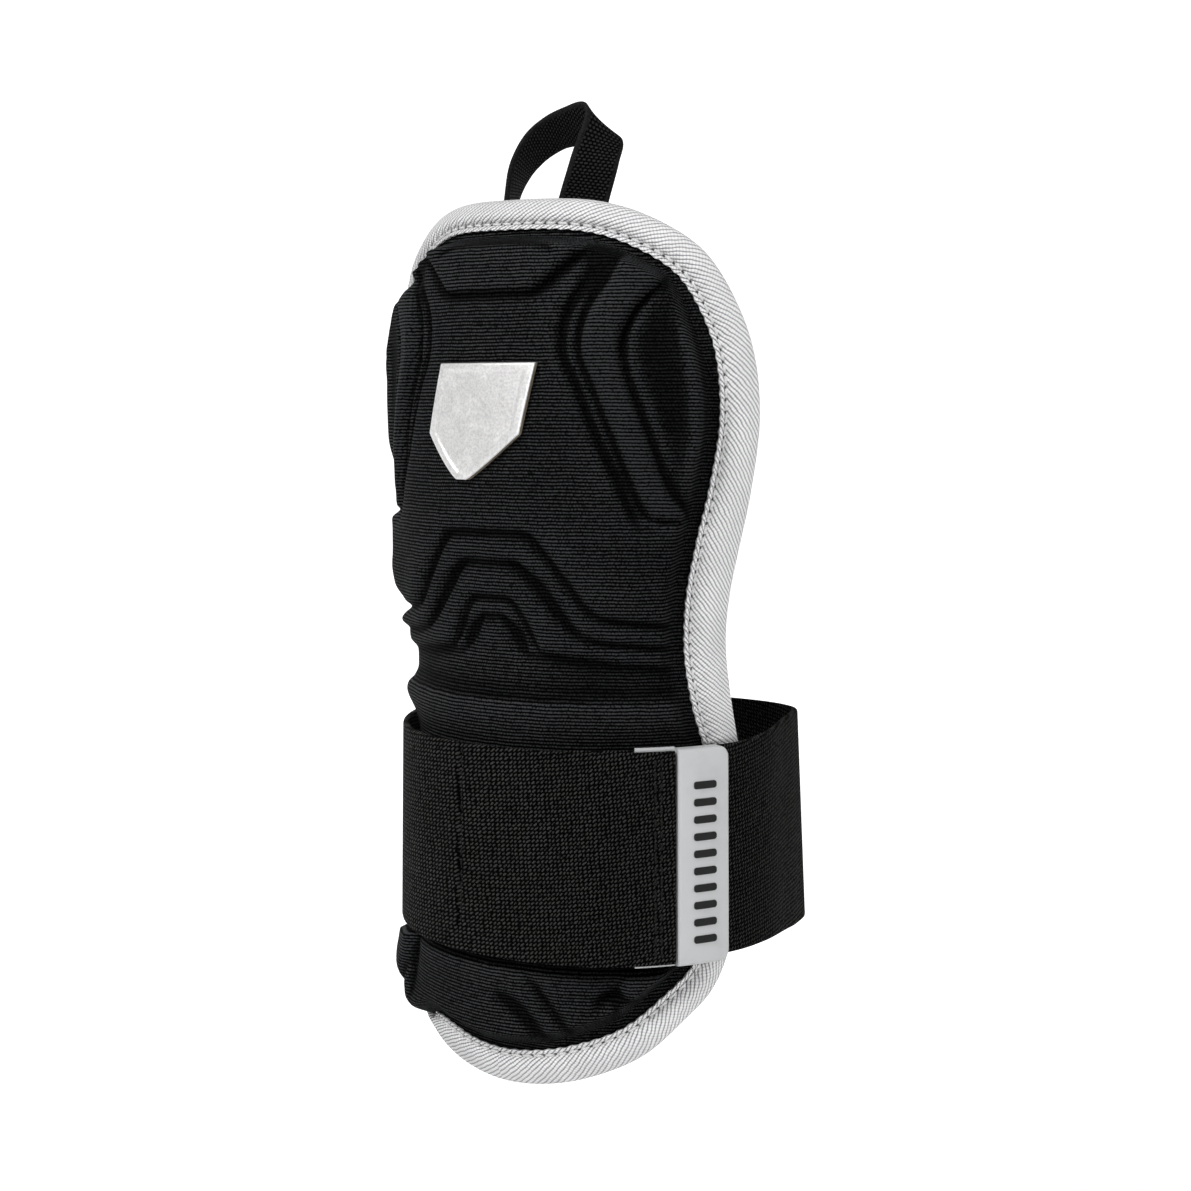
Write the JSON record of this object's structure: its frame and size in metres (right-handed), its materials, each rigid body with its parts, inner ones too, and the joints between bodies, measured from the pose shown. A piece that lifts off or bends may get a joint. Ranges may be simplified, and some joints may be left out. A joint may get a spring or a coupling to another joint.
{
  "type": "batting hand protector",
  "caption": "Curved padded guard for the back of a batter's hand and wrist, with moulded relief, taped edge, elastic finger loop and wide wrist strap with a rubber end tab.",
  "frame": {"origin": "on the axis of the wrist, level with the middle of the strap", "axes": "+Z along the forearm towards the fingers, -Y out of the padded side, +X to the right of the pad seen from outside"},
  "size_m": [0.0998, 0.085, 0.224],
  "materials": {
    "knit": "black fine ribbed knit over moulded foam",
    "tape": "pale grey woven binding tape",
    "elastic": "black woven elastic webbing",
    "rubber": "matt pale grey moulded rubber",
    "silver": "satin silver"
  },
  "bodies": {
    "root": {"moulded_pad": "knit", "edge_binding": "tape", "finger_loop": "elastic", "wrist_strap": "elastic", "strap_tab": "rubber", "badge": "silver"}
  },
  "joints": []
}
